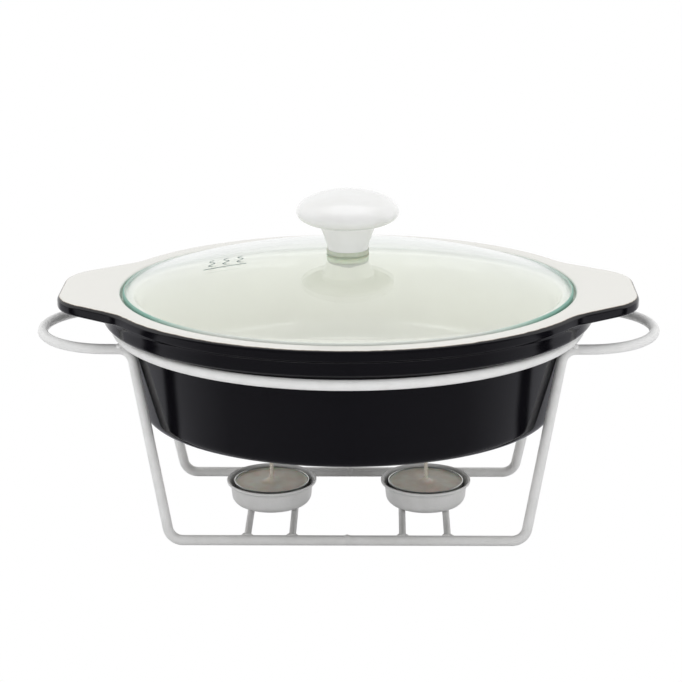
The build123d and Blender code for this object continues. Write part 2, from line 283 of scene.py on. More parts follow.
def ring(radius, z, centre_x, count, wobble=None):
    """A closed circle of points, with a change of radius by angle."""
    angle = np.linspace(0, 2 * math.pi, count, endpoint=False)
    r = np.full(count, float(radius))
    if wobble is not None:
        r = r + wobble(angle)
    return np.stack([centre_x + r * np.cos(angle), r * np.sin(angle), np.full(count, z)], axis=1)


# ------------------------------------------------------------------ materials


class Nodes:
    """Short helpers over a node tree."""

    def __init__(self, tree):
        self.nodes = tree.nodes
        self.links = tree.links

    def add(self, kind, **settings):
        """A new node. Each setting is one of its properties or, with spaces for _, its sockets."""
        node = self.nodes.new(kind)
        for key, value in settings.items():
            if hasattr(node, key):
                setattr(node, key, value)
            else:
                node.inputs[key.replace("_", " ")].default_value = value
        return node

    def join(self, source, target):
        self.links.new(source, target)

    def math(self, operation, *values):
        """The result of a Math node over numbers and sockets."""
        node = self.add("ShaderNodeMath", operation=operation)
        for value, socket in zip(values, node.inputs):
            if isinstance(value, float):
                socket.default_value = value
            else:
                self.join(value, socket)
        return node.outputs[0]

    def along(self, vector, axis):
        """One coordinate of a vector."""
        split = self.add("ShaderNodeSeparateXYZ")
        self.join(vector, split.inputs["Vector"])
        return split.outputs[axis]

    def share(self, value, low, high):
        """Where a value stands between low and high, from 0 to 1."""
        node = self.add("ShaderNodeMapRange", From_Min=low, From_Max=high)
        self.join(value, node.inputs["Value"])
        return node.outputs["Result"]

    def spread(self, factor, low, high):
        """Maps a 0 to 1 factor to a range."""
        node = self.add("ShaderNodeMapRange", To_Min=low, To_Max=high)
        self.join(factor, node.inputs["Value"])
        return node.outputs["Result"]

    def ramp(self, factor, stops):
        """A colour from (position, colour) stops."""
        node = self.add("ShaderNodeValToRGB")
        band = node.color_ramp
        while len(band.elements) < len(stops):
            band.elements.new(0.5)
        for element, (place, colour) in zip(band.elements, stops):
            element.position = place
            element.color = (*colour, 1.0)
        self.join(factor, node.inputs["Fac"])
        return node.outputs["Color"]

    def mix(self, factor, first, second):
        """A shader between two others."""
        node = self.add("ShaderNodeMixShader")
        for source, socket in zip((factor, first, second), node.inputs):
            self.join(source, socket)
        return node.outputs["Shader"]


class Shader(Nodes):
    """A node material with a Principled shader."""

    def __init__(self, name, colour, roughness, metallic=0.0):
        self.material = bpy.data.materials.new(name)
        self.material.use_nodes = True
        super().__init__(self.material.node_tree)
        self.surface = self.nodes["Principled BSDF"]
        self.output = self.nodes["Material Output"]
        self.set("Base Color", (*colour, 1.0))
        self.set("Roughness", roughness)
        self.set("Metallic", metallic)
        self.material.diffuse_color = (*colour, 1.0)

    def set(self, socket, value):
        """Gives one of the surface's sockets a value, or joins a node's output to it."""
        if isinstance(value, bpy.types.NodeSocket):
            self.join(value, self.surface.inputs[socket])
        else:
            self.surface.inputs[socket].default_value = value

    def place(self):
        """The point's place in the part's frame, in metres."""
        return self.add("ShaderNodeTexCoord").outputs["Object"]

    def noise(self, scale, detail=2.0, rough=0.5):
        node = self.add("ShaderNodeTexNoise", Scale=scale, Detail=detail, Roughness=rough)
        self.join(self.place(), node.inputs["Vector"])
        return node.outputs["Fac"]

    def mottle(self, scale, detail, low, high):
        """Sets a base colour that wanders between two."""
        self.set("Base Color", self.ramp(self.noise(scale, detail), [(0.3, low), (0.7, high)]))

    def bumps(self, *layers):
        """Adds bump from (height, depth in metres) layers, one on another."""
        normal = None
        for height, depth in layers:
            node = self.add("ShaderNodeBump", Strength=1.0, Distance=depth)
            self.join(height, node.inputs["Height"])
            if normal is not None:
                self.join(normal, node.inputs["Normal"])
            normal = node.outputs["Normal"]
        self.set("Normal", normal)


def powder_coat():
    """White powder coat: a fine orange peel with a little speck and tone."""
    s = Shader("powder_coat", (0.80, 0.80, 0.79), 0.42)
    s.mottle(140.0, 3.0, (0.77, 0.77, 0.76), (0.83, 0.83, 0.825))
    s.set("Roughness", s.spread(s.noise(420.0, 2.0), 0.34, 0.52))
    s.bumps((s.noise(900.0, 2.0), 0.00010), (s.noise(240.0, 1.0), 0.00012))
    s.set("Specular IOR Level", 0.5)
    return s.material


def dish_glaze():
    """Gloss black glaze outside and cream glaze inside, with a thin brown break where they meet.

    The mesh carries the distance from the glaze line, in mm, with cream on its positive side.
    """
    s = Shader("dish_glaze", (0.02, 0.02, 0.025), 0.08)
    distance = s.add("ShaderNodeAttribute", attribute_name="glaze_mm").outputs["Fac"]
    wander = s.spread(s.noise(260.0, 3.0), -0.35, 0.35)
    black = (0.0045, 0.0042, 0.0058)
    brown = (0.075, 0.045, 0.030)
    thin = (0.50, 0.45, 0.37)
    cream = (0.80, 0.79, 0.745)
    stops = [(0.0, black), (0.42, black), (0.50, brown), (0.60, thin), (0.76, cream), (1.0, cream)]
    s.set("Base Color", s.ramp(s.share(s.math("ADD", distance, wander), -1.0, 1.0), stops))
    s.set("Roughness", s.spread(s.noise(60.0, 3.0), 0.07, 0.14))
    s.bumps((s.noise(28.0, 1.0), 0.00022), (s.noise(700.0, 2.0), 0.000012))
    return s.material


def bare_stoneware():
    """The unglazed foot, with a sandy grain."""
    s = Shader("bare_stoneware", (0.50, 0.43, 0.34), 0.85)
    grain = s.noise(1500.0, 4.0, 0.7)
    stops = [(0.35, (0.40, 0.33, 0.25)), (0.5, (0.52, 0.45, 0.36)), (0.7, (0.60, 0.54, 0.45))]
    s.set("Base Color", s.ramp(grain, stops))
    s.bumps((grain, 0.00012))
    return s.material


def clear_glass():
    """Tempered glass that lets light through to the dish."""
    s = Shader("lid_glass", (1.0, 1.0, 1.0), 0.0)
    s.set("Transmission Weight", 1.0)
    s.set("IOR", GLASS_IOR)
    through = s.add("ShaderNodeBsdfTransparent", Color=(0.95, 0.96, 0.90, 1.0)).outputs["BSDF"]
    shadow_ray = s.add("ShaderNodeLightPath").outputs["Is Shadow Ray"]
    s.join(s.mix(shadow_ray, s.surface.outputs["BSDF"], through), s.output.inputs["Surface"])
    tint = s.add("ShaderNodeVolumeAbsorption", Color=(0.74, 0.90, 0.82, 1.0), Density=18.0)
    s.join(tint.outputs["Volume"], s.output.inputs["Volume"])
    return s.material


def glass_rim():
    """The ground edge, with a painted tint of light seen along the glass: deep green at the ends, where it is
    seen along the glass, and pale between.
    """
    s = Shader("ground_glass_edge", (0.50, 0.72, 0.63), 0.45)
    across = s.math("ABSOLUTE", s.along(s.place(), "X"))
    # Painted tint by place: deep green where light is seen along the glass at the ends, pale between.
    stops = [
        (0.0, (0.80, 0.83, 0.79)),
        (0.35, (0.62, 0.76, 0.69)),
        (0.7, (0.26, 0.52, 0.43)),
        (1.0, (0.20, 0.44, 0.36)),
    ]
    s.set("Base Color", s.ramp(s.share(across, 0.060, 0.108), stops))
    s.set("Transmission Weight", 0.25)
    s.set("IOR", GLASS_IOR)
    return s.material


def knob_glaze():
    """Gloss white glaze."""
    s = Shader("knob_glaze", (0.87, 0.87, 0.86), 0.12)
    s.mottle(90.0, 2.0, (0.85, 0.85, 0.835), (0.89, 0.89, 0.885))
    s.set("Roughness", s.spread(s.noise(120.0, 2.0), 0.09, 0.18))
    s.bumps((s.noise(60.0, 1.0), 0.00012), (s.noise(800.0, 2.0), 0.00001))
    s.set("Coat Weight", 0.3)
    s.set("Coat Roughness", 0.05)
    return s.material


def silicone():
    """Greenish grey silicone that lets a little light in."""
    s = Shader("silicone", (0.60, 0.64, 0.53), 0.45)
    s.mottle(500.0, 2.0, (0.57, 0.61, 0.50), (0.63, 0.67, 0.56))
    s.bumps((s.noise(1200.0, 2.0), 0.00002))
    s.set("Subsurface Weight", 0.15)
    s.set("Subsurface Scale", 0.002)
    return s.material


def metal(name, colour, roughness, grain):
    """Bare metal with a fine turned or drawn grain."""
    s = Shader(name, colour, roughness, metallic=1.0)
    s.set("Roughness", s.spread(s.noise(grain, 3.0), roughness * 0.7, roughness * 1.4))
    s.bumps((s.noise(grain, 2.0), 0.00003))
    return s.material


def paraffin():
    """Pale paraffin, a little clouded, with fine frosting."""
    s = Shader("paraffin", (0.93, 0.84, 0.72), 0.42)
    stops = [(0.3, (0.84, 0.72, 0.60)), (0.5, (0.93, 0.85, 0.73)), (0.72, (0.97, 0.92, 0.82))]
    s.set("Base Color", s.ramp(s.noise(120.0, 4.0), stops))
    s.set("Roughness", s.spread(s.noise(600.0, 3.0), 0.30, 0.55))
    s.bumps((s.noise(160.0, 2.0), 0.00025), (s.noise(1100.0, 3.0), 0.00005))
    s.set("Subsurface Weight", 0.35)
    s.set("Subsurface Scale", 0.003)
    return s.material


def cotton():
    """Waxed cotton thread."""
    s = Shader("waxed_cotton", (0.74, 0.69, 0.60), 0.7)
    s.mottle(1400.0, 3.0, (0.66, 0.61, 0.52), (0.80, 0.76, 0.68))
    s.bumps((s.noise(2600.0, 2.0), 0.00008))
    s.set("Sheen Weight", 0.2)
    return s.material


def print_ink():
    """Dark green printing on the glass."""
    s = Shader("print_ink", (0.10, 0.16, 0.15), 0.5)
    s.mottle(900.0, 2.0, (0.08, 0.13, 0.12), (0.14, 0.20, 0.19))
    return s.material


coat = powder_coat()
glaze = dish_glaze()
stoneware = bare_stoneware()
glass = clear_glass()
ground_edge = glass_rim()
porcelain = knob_glaze()
rubber = silicone()
steel = metal("stainless", (0.55, 0.56, 0.54), 0.32, 700.0)
brass = metal("brass", (0.72, 0.55, 0.26), 0.30, 700.0)
foil = metal("case_foil", (0.72, 0.73, 0.71), 0.30, 500.0)
wax_material = paraffin()
wick_material = cotton()
ink = print_ink()


def finish_node(node, material):
    """Gives a CAD node that stays in view its material."""
    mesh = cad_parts[node].data
    mesh.materials.clear()
    mesh.materials.append(material)


for node in (
    "support_ring",
    "left_side_frame",
    "right_side_frame",
    "left_outer_cross_rod",
    "left_inner_cross_rod",
    "right_inner_cross_rod",
    "right_outer_cross_rod",
):
    finish_node(node, coat)
finish_node("lid_knob", porcelain)
finish_node("upper_gasket", rubber)
finish_node("lower_gasket", rubber)
finish_node("retaining_washer", steel)
finish_node("knob_screw", steel)
finish_node("knob_insert", brass)
for side in SIDES:
    finish_node(f"{side}_wick_sustainer", steel)

# ------------------------------------------------------------------ dish


def flange_outline():
    """The flange's edge with its ears, at the ovals' own directions, read from the CAD dish."""
    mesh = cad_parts["casserole_dish"].data
    points = np.array([v.co for v in mesh.vertices]) / MM
    level = RIM_Z - FLANGE_TOP_R
    edge = points[np.abs(points[:, 2] - level) < 0.02]
    angle = np.arctan2(edge[:, 1], edge[:, 0])
    # The vertical face's upper line is the outermost at this level.
    reach = rim_reach(edge) > 0.995
    edge, angle = edge[reach], angle[reach]
    order = np.argsort(angle)
    edge, angle = edge[order], angle[order]
    edge = np.vstack([edge[-1:], edge, edge[:1]])
    angle = np.concatenate([[angle[-1] - 2 * math.pi], angle, [angle[0] + 2 * math.pi]])
    outline = []
    for t in turn:
        way = math.atan2(RIM_B * math.sin(t), RIM_A * math.cos(t))
        k = min(max(int(np.searchsorted(angle, way)), 1), len(angle) - 1)
        start, step = edge[k - 1][:2], edge[k][:2] - edge[k - 1][:2]
        ray = np.array([math.cos(way), math.sin(way)])
        cross = ray[0] * step[1] - ray[1] * step[0]
        if abs(cross) < 1e-9:
            outline.append(start)
            continue
        outline.append(ray * ((start[0] * step[1] - start[1] * step[0]) / cross))
    return np.array(outline)


def inset_outline(outline, inset, z):
    """The outline moved inwards by a distance, at a level."""
    along = np.roll(outline, -1, axis=0) - np.roll(outline, 1, axis=0)
    along /= np.linalg.norm(along, axis=1)[:, None]
    inward = np.stack([-along[:, 1], along[:, 0]], axis=1)
    moved = outline + inward * inset
    return np.column_stack([moved, np.full(len(outline), z)])


def rim_oval(inset, z):
    """The rim's oval moved inwards, at a level."""
    return oval(RIM_A - inset, RIM_B - inset, z)


def rim_reach(points):
    """How far out points lie, as a share of the rim's oval."""
    return np.hypot(points[:, 0] / RIM_A, points[:, 1] / RIM_B)


def blend_rows(first, second, share):
    return first * (1 - share) + second * share


def wall_inset(top_z, top_inset, bottom_z, bottom_inset, z):
    return bottom_inset + (top_inset - bottom_inset) * (z - bottom_z) / (top_z - bottom_z)


def corner_rows(radius, floor_z, slope_inset, lean, steps):
    """Rows round the corner between a flat floor and a leaning wall. slope_inset gives the wall."""
    centre_z = floor_z + radius
    centre_inset = slope_inset(centre_z) + radius / math.cos(lean)
    angles = np.radians(np.linspace(-90, -math.degrees(lean), steps))
    return [rim_oval(centre_inset - radius * math.cos(a), centre_z + radius * math.sin(a)) for a in angles]


def dish_rows():
    """The dish's rows from the middle of its base, round its outside, to the middle of its floor."""
    outline = flange_outline()

    def outer_wall(z):
        return wall_inset(SHOULDER_Z, WALL_TOP_INSET, BASE_Z, WALL_BOTTOM_INSET, z)

    def inner_wall(z):
        return wall_inset(RIM_Z - LEDGE_DEPTH, CAVITY_TOP_INSET, FLOOR_Z, CAVITY_BOTTOM_INSET, z)

    outer_lean = math.atan((WALL_BOTTOM_INSET - WALL_TOP_INSET) / (SHOULDER_Z - BASE_Z))
    inner_lean = math.atan((CAVITY_BOTTOM_INSET - CAVITY_TOP_INSET) / (RIM_Z - LEDGE_DEPTH - FLOOR_Z))
    ledge_z = RIM_Z - LEDGE_DEPTH

    # Base: recess, bare foot ring.
    recess = rim_oval(RECESS_INSET + RECESS_SLOPE, BASE_Z + RECESS_DEPTH)
    centre = np.array([0, 0, BASE_Z + RECESS_DEPTH])
    rows = [blend_rows(centre, recess, share) for share in (0.05, 0.3, 0.6, 0.85, 0.97)]
    rows += [recess, rim_oval(RECESS_INSET + 0.5, BASE_Z + 0.6), rim_oval(RECESS_INSET, BASE_Z + 0.15)]
    foot_start = len(rows)
    rows.append(rim_oval(RECESS_INSET - 0.4, BASE_Z))
    # Rounded base edge and wall.
    base_corner = corner_rows(BASE_EDGE_R, BASE_Z, outer_wall, outer_lean, 12)
    foot_end = len(rows) + 1
    rows += base_corner
    for z in np.linspace(base_corner[-1][0][2], SHOULDER_Z - 1.2, 12)[1:]:
        rows.append(rim_oval(outer_wall(z), z))
    # Shoulder, collar.
    rows.append(rim_oval(outer_wall(SHOULDER_Z) - 0.25, SHOULDER_Z - 0.35))
    rows.append(rim_oval(WALL_TOP_INSET - 1.0, SHOULDER_Z))
    for inset, z in arc((COLLAR_INSET + COLLAR_R, SHOULDER_Z + COLLAR_R), -COLLAR_R, 90, 0, 8):
        rows.append(rim_oval(inset, z))
    rows += [rim_oval(COLLAR_INSET, z) for z in np.linspace(SHOULDER_Z + COLLAR_R, FLANGE_Z - 0.8, 4)[1:]]
    rows.append(rim_oval(COLLAR_INSET - 0.25, FLANGE_Z - 0.25))
    # Flange underside, edge and top, ears included.
    under_oval = rim_oval(COLLAR_INSET - 0.8, FLANGE_Z)
    rows.append(under_oval)
    under_edge = inset_outline(outline, FLANGE_BOTTOM_R, FLANGE_Z)
    hidden = rim_reach(under_edge) < rim_reach(under_oval)
    under_edge = np.where(hidden[:, None], under_oval, under_edge)
    rows += [blend_rows(under_oval, under_edge, share) for share in (0.33, 0.67)]
    for inset, z in arc((FLANGE_BOTTOM_R, FLANGE_Z + FLANGE_BOTTOM_R), -FLANGE_BOTTOM_R, 90, 0, 6):
        rows.append(inset_outline(outline, inset, z))
    rows.append(inset_outline(outline, 0, RIM_Z - FLANGE_TOP_R - 0.9))
    glaze_line = len(rows)
    for inset, z in arc((FLANGE_TOP_R, RIM_Z - FLANGE_TOP_R), -FLANGE_TOP_R, 0, -90, 9):
        rows.append(inset_outline(outline, inset, z))
    top_edge = inset_outline(outline, FLANGE_TOP_R, RIM_Z)
    lip = oval(LEDGE_A + LEDGE_LIP_R, LEDGE_B + LEDGE_LIP_R, RIM_Z)
    rows += [blend_rows(top_edge, lip, share) for share in (0.12, 0.35, 0.6, 0.85)]
    # The recess that holds the lid, and its ledge.
    edge = arc((LEDGE_LIP_R, RIM_Z - LEDGE_LIP_R), -LEDGE_LIP_R, -90, 0, 6)
    edge += arc((-LEDGE_CORNER_R, ledge_z + LEDGE_CORNER_R), LEDGE_CORNER_R, 0, -90, 5)
    rows += [oval(LEDGE_A + across, LEDGE_B + across, z) for across, z in edge]
    cavity_lip = (CAVITY_TOP_INSET - CAVITY_LIP_R - 0.1, ledge_z - CAVITY_LIP_R)
    rows += [rim_oval(inset, z) for inset, z in arc(cavity_lip, CAVITY_LIP_R, 90, 6, 8)]
    # Cavity wall, cove and floor.
    cove = corner_rows(COVE_R, FLOOR_Z, inner_wall, inner_lean, 16)[::-1]
    for z in np.linspace(ledge_z - 2.4, cove[0][0][2], 8)[:-1]:
        rows.append(rim_oval(inner_wall(z), z))
    rows += cove
    floor = cove[-1]
    middle = np.array([0, 0, FLOOR_Z])
    rows += [blend_rows(floor, middle, share) for share in (0.1, 0.3, 0.55, 0.8, 0.95)]
    return rows, (foot_start, foot_end), glaze_line


def build_dish():
    """The dish in one skin, with its glaze line, and its foot ring in bare stoneware."""
    rows, (foot_start, foot_end), glaze_line = dish_rows()
    mesh = skin("dish_glazed", rows, close_first=True, close_last=True)
    # Each point's distance along the profile from the glaze line, black side negative.
    steps = [np.linalg.norm(rows[i + 1] - rows[i], axis=1) for i in range(len(rows) - 1)]
    gone = np.vstack([np.zeros(AROUND), np.cumsum(steps, axis=0)])
    line = gone[glaze_line]
    distance = np.clip(gone - line - GLAZE_LINE_RISE, -GLAZE_REACH, GLAZE_REACH).ravel()
    distance = np.concatenate([distance, [-GLAZE_REACH, GLAZE_REACH]])
    layer = mesh.attributes.new("glaze_mm", "FLOAT", "POINT")
    layer.data.foreach_set("value", distance.astype(np.float32))
    dish = new_piece("dish_glazed", mesh, [glaze, stoneware], "dish")
    for index, polygon in enumerate(mesh.polygons):
        row = index // AROUND
        if foot_start - 1 <= row < foot_end:
            polygon.material_index = 1
    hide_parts("casserole_dish")


build_dish()

# ------------------------------------------------------------------ glass lid


def dome_z(across):
    """Height of the glass's top, for a distance from the middle measured along the long axis."""
    return GLASS_APEX_Z - DOME_R + math.sqrt(DOME_R**2 - across**2)


def heat_mark():
    """A plain printed heat mark on the glass: three waves over a bar."""
    lines = [[(float(u), MARK_BAR_Y) for u in np.linspace(-MARK_BAR_HALF, MARK_BAR_HALF, 15)]]
    for u in (-MARK_WAVE_X, 0.0, MARK_WAVE_X):
        rise = np.linspace(MARK_WAVE_LOW, MARK_WAVE_HIGH, 26)
        lines.append([(u + MARK_WAVE_SWAY * math.sin(MARK_WAVE_RATE * v), float(v)) for v in rise])
    points = []
    faces = []
    for index, line in enumerate(lines):
        line = np.array(line) + np.array([MARK_X, MARK_Y])
        along = np.gradient(line, axis=0)
        along /= np.linalg.norm(along, axis=1)[:, None]
        width = MARK_BAR_W if index == 0 else MARK_LINE_W
        side = np.stack([-along[:, 1], along[:, 0]], axis=1) * width / 2
        start = len(points)
        for place, offset in zip(line, side):
            for x, y in (place - offset, place + offset):
                z = dome_z(math.hypot(x, y * GLASS_A / GLASS_B)) + MARK_LIFT
                points.append((x * MM, y * MM, z * MM))
        faces += [(k, k + 2, k + 3, k + 1) for k in range(start, len(points) - 2, 2)]
    mesh = bpy.data.meshes.new("heat_mark")
    mesh.from_pydata(points, [], faces)
    for polygon in mesh.polygons:
        polygon.material_index = 2
    return mesh


def build_glass():
    """The dome, with its rounded and ground edge and its hole, and the mark printed on it."""
    narrow = GLASS_B / GLASS_A
    lean = math.degrees(math.asin(GLASS_A / DOME_R))
    last = GLASS_A - GLASS_EDGE_R
    profile = [(across, dome_z(across)) for across in np.linspace(GLASS_HOLE_R + 0.3, last, 40)]
    edge_start = len(profile)
    top_centre = (last, dome_z(last) - GLASS_EDGE_R)
    profile += arc(top_centre, GLASS_EDGE_R, 90 - lean, 0, 6)
    bottom_centre = (last, dome_z(last) - GLASS_T + GLASS_EDGE_R)
    profile += arc(bottom_centre, GLASS_EDGE_R, 0, -90 - lean * 0.4, 6)
    edge_end = len(profile) - 1
    inwards = np.linspace(last - 1.0, GLASS_HOLE_R + 0.3, 40)
    profile += [(across, dome_z(across) - GLASS_T) for across in inwards]
    profile += [(GLASS_HOLE_R, GLASS_APEX_Z - GLASS_T + 0.4), (GLASS_HOLE_R, GLASS_APEX_Z - 0.4)]
    rows = [oval(across, across * narrow, z) for across, z in profile]
    dome = skin("dome", rows, loop_rows=True)
    for index, polygon in enumerate(dome.polygons):
        if edge_start <= index // AROUND < edge_end:
            polygon.material_index = 1
    whole = merged("lid_glass_dome", [dome, heat_mark()])
    lid = new_piece("lid_glass_dome", whole, [glass, ground_edge, ink], "lid")
    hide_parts("glass_lid")


build_glass()

# ------------------------------------------------------------------ cups and tealights


def swing(angle, seed):
    """A slow, uneven wave between -1 and 1 round a pressed rim."""
    broad = 0.5 * np.sin(2 * angle + seed) + 0.3 * np.sin(3 * angle + 2.1 * seed)
    return broad + 0.2 * np.sin(7 * angle + 0.7 * seed)


def build_cup(side, x, seed):
    """A pressed cup: rounded bottom, flared rim, and a rim edge that isn't quite round."""
    corners = [(0.4, CUP_BOTTOM_Z), (CUP_WALL_R - 1.0, CUP_BOTTOM_Z), (CUP_WALL_R, CUP_RIM_Z - 2.4)]
    line = rounded([*corners, (CUP_RIM_R - 0.25, CUP_RIM_Z - 0.3)], [4.6, 2.0])
    angle = np.linspace(0, 2 * math.pi, CUP_AROUND, endpoint=False)
    sway = CUP_SWAY * swing(angle, seed)
    wave = CUP_WAVE * swing(angle, seed + 1.3)

    def cup_ring(across, z, flare, inwards, down):
        """A ring that sways and waves as much as its share of the flare, less a margin."""
        row = ring(across, z, x, CUP_AROUND, lambda _: flare * (sway - inwards))
        row[:, 2] += flare * (wave - down)
        return row

    rows = []
    for across, z in sheet_profile(line, CUP_SHEET):
        flare = min(max((z - 12.5) / 4.0, 0.0), 1.0)
        rows.append(cup_ring(across, z, flare, 0.12, 0.12))
    roll = []
    for a in np.linspace(0, 2 * math.pi, 12, endpoint=False):
        out = CUP_RIM_R - 0.85 + CUP_ROLL[0] * math.cos(a)
        roll.append(cup_ring(out, CUP_RIM_Z - 0.72 + CUP_ROLL[1] * math.sin(a), 1.0, 0.1, 0.05))
    parts = [skin("wall", rows, True, True), skin("roll", roll, loop_rows=True)]
    cup = new_piece(f"{side}_cup_pressed", merged(f"{side}_cup_pressed", parts), coat, "stand")
    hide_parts(f"{side}_candle_cup")


def build_case(side, x):
    """A drawn foil case with faint flutes and a rolled rim."""
    body = f"{side}_tealight"
    corners = [(0.4, CASE_BOTTOM_Z), (CASE_R - 0.85, CASE_BOTTOM_Z), (CASE_R - 0.3, CASE_TOP_Z - 0.9)]
    line = rounded([*corners, (CASE_R - 0.22, CASE_TOP_Z - 0.35)], [2.4, 0.3])
    rows = []
    for across, z in sheet_profile(line, CASE_SHEET):
        depth = CASE_FLUTE_DEPTH * min(max((z - 8.0) / 1.5, 0.0), 1.0) * min(max((15.4 - z) / 0.8, 0.0), 1.0)
        rows.append(ring(across, z, x, 288, lambda angle, d=depth: -d * (1 + np.cos(CASE_FLUTES * angle))))
    roll = []
    for a in np.linspace(0, 2 * math.pi, 10, endpoint=False):
        out, up = CASE_ROLL_R * math.cos(a), CASE_ROLL_R * math.sin(a)
        roll.append(ring(CASE_R - 0.34 + out, CASE_TOP_Z - 0.33 + up, x, 144))
    parts = [skin("wall", rows, True, True), skin("roll", roll, loop_rows=True)]
    case = new_piece(f"{side}_case_foil", merged(f"{side}_case_foil", parts), foil, body)
    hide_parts(f"{side}_tealight_case")


def build_wax(side, x, seed):
    """Cast wax that climbs the case a little and rises in a cone round the wick."""
    inner = CASE_R - CASE_SHEET - 0.35
    bottom = CASE_BOTTOM_Z + 0.75
    profile = rounded([(1.8, bottom), (inner - 0.5, bottom), (inner, WAX_Z + 0.55)], [2.0])
    # The edge that climbs the case, the flat top and the cone round the wick, each (across, rise).
    top = [(inner - 0.35, 0.42), (inner - 0.9, 0.16), (inner - 1.8, 0.02)]
    top += [(across, 0.0) for across in np.linspace(inner - 3.0, 6.0, 9)]
    top += [(4.8, 0.14), (3.6, 0.46), (2.7, 0.95), (2.0, 1.55), (1.4, 2.3)]
    profile += [(across, WAX_Z + rise) for across, rise in top]
    rows = []
    for across, z in profile:
        row = ring(across, z, x, 120)
        if z > WAX_Z - 0.1:
            ripple = np.array([noise.noise(Vector((q[0] * 0.16, q[1] * 0.16, seed))) for q in row])
            row[:, 2] += WAX_RIPPLE * ripple - 0.05
        rows.append(row)
    mesh = skin(f"{side}_wax_cast", rows, True, True)
    wax = new_piece(f"{side}_wax_cast", mesh, wax_material, f"{side}_tealight")
    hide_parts(f"{side}_wax")


def build_wick(side, x, seed):
    """Three twisted strands that lean a little and end in a blunt tip."""
    low = CASE_BOTTOM_Z + CASE_SHEET + 0.1
    strands = []
    for strand in range(WICK_STRANDS):
        rows = []
        for z in np.linspace(low, WICK_TOP_Z - 0.05, 70):
            share = (z - low) / (WICK_TOP_Z - low)
            angle = 2 * math.pi * (strand / WICK_STRANDS + (z - low) / WICK_PITCH)
            thin = 1.0 - 0.35 * max(0.0, share - 0.93) / 0.07
            centre_x = x + STRAND_OFFSET * thin * math.cos(angle)
            centre_y = STRAND_OFFSET * thin * math.sin(angle)
            fuzz = 0.05 * noise.noise(Vector((z * 2.3, strand * 5.0, seed)))
            row = ring((STRAND_R + fuzz) * thin, z, centre_x, 12)
            row[:, 1] += centre_y
            rows.append(row)
        strands.append(skin("strand", rows, True, True))
    mesh = merged(f"{side}_wick_braid", strands)
    wick = new_piece(f"{side}_wick_braid", mesh, wick_material, f"{side}_tealight")
    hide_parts(f"{side}_wick")


for side, side_x, side_seed in (("left", -CUP_X, 0.4), ("right", CUP_X, 2.9)):
    build_cup(side, side_x, side_seed)
    build_case(side, side_x)
    build_wax(side, side_x, side_seed)
    build_wick(side, side_x, side_seed)

# ------------------------------------------------------------------ welds


def weld_piece(name, meshes, node):
    """One piece of coated beads in place of a weld node."""
    piece = new_piece(name, merged(name, meshes), coat, "stand")
    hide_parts(node)


def beads(place, outwards, kinds, seed):
    """The beads of one weld, each kind set off from the place along the outward signs."""
    return [
        lump((place[0] + outwards[0] * dx, place[1] + outwards[1] * dy, place[2] + dz), radii, seed + more)
        for dx, dy, dz, radii, more in kinds
    ]


def build_welds():
    """Uneven beads under the powder coat, where rods, ring and bars are joined."""
    rods = []
    for k, x in enumerate((-ROD_X[1], -ROD_X[0], ROD_X[0], ROD_X[1])):
        for end in (-1, 1):
            rods += beads((x, end * (FOOT_Y - WIRE_D / 2), ROD_Z), (1, end), ROD_BEADS, 3.0 * k + end)
    weld_piece("rod_weld_beads", rods, "rod_welds")
    crossing_x = RING_A * math.sqrt(1 - (TOP_Y / RING_B) ** 2)
    rings = []
    for side in (-1, 1):
        for end in (-1, 1):
            place = (side * crossing_x, end * TOP_Y, RING_Z - WIRE_D / 2)
            rings += beads(place, (side, end), RING_BEADS, 2.0 * side + end)
    weld_piece("ring_weld_beads", rings, "ring_welds")
    seam_line = [(-x, radius) for x, radius in SEAM_HALF[:0:-1]] + list(SEAM_HALF)
    seams = []
    for end in (-1, 1):
        rows = []
        for x, radius in seam_line:
            row = []
            for angle in np.linspace(0, 2 * math.pi, 32, endpoint=False):
                uneven = noise.noise(Vector((x, 2 * math.cos(angle) + end, 2 * math.sin(angle))))
                proud = max(0.0, 0.4 + math.sin(angle)) * max(0.0, 1 - abs(x)) * (0.22 + 0.15 * uneven)
                reach = radius + proud
                row.append((x, end * FOOT_Y + reach * math.cos(angle), SEAM_R + reach * math.sin(angle)))
            rows.append(np.array(row))
        seams.append(skin("seam", rows, True, True))
    weld_piece("seam_weld_beads", seams, "bar_seam_welds")


build_welds()

# ------------------------------------------------------------------ stage, light and camera

WHITE = (1.0, 1.0, 1.0)
# The pale tone of the floor's painted reflection.
PAINTED_REFLECTION_TONE = (0.42, 0.42, 0.45)
FLOOR_SIZE = 16.0  # metres
CAMERA_PLACE = (0.01606, -1.05816, 0.41238)
CAMERA_LENS = 117.43
CAMERA_PAN = 0.01852
CAMERA_TILT = math.pi / 2 - 0.29602
CAMERA_ROLL = -0.00441


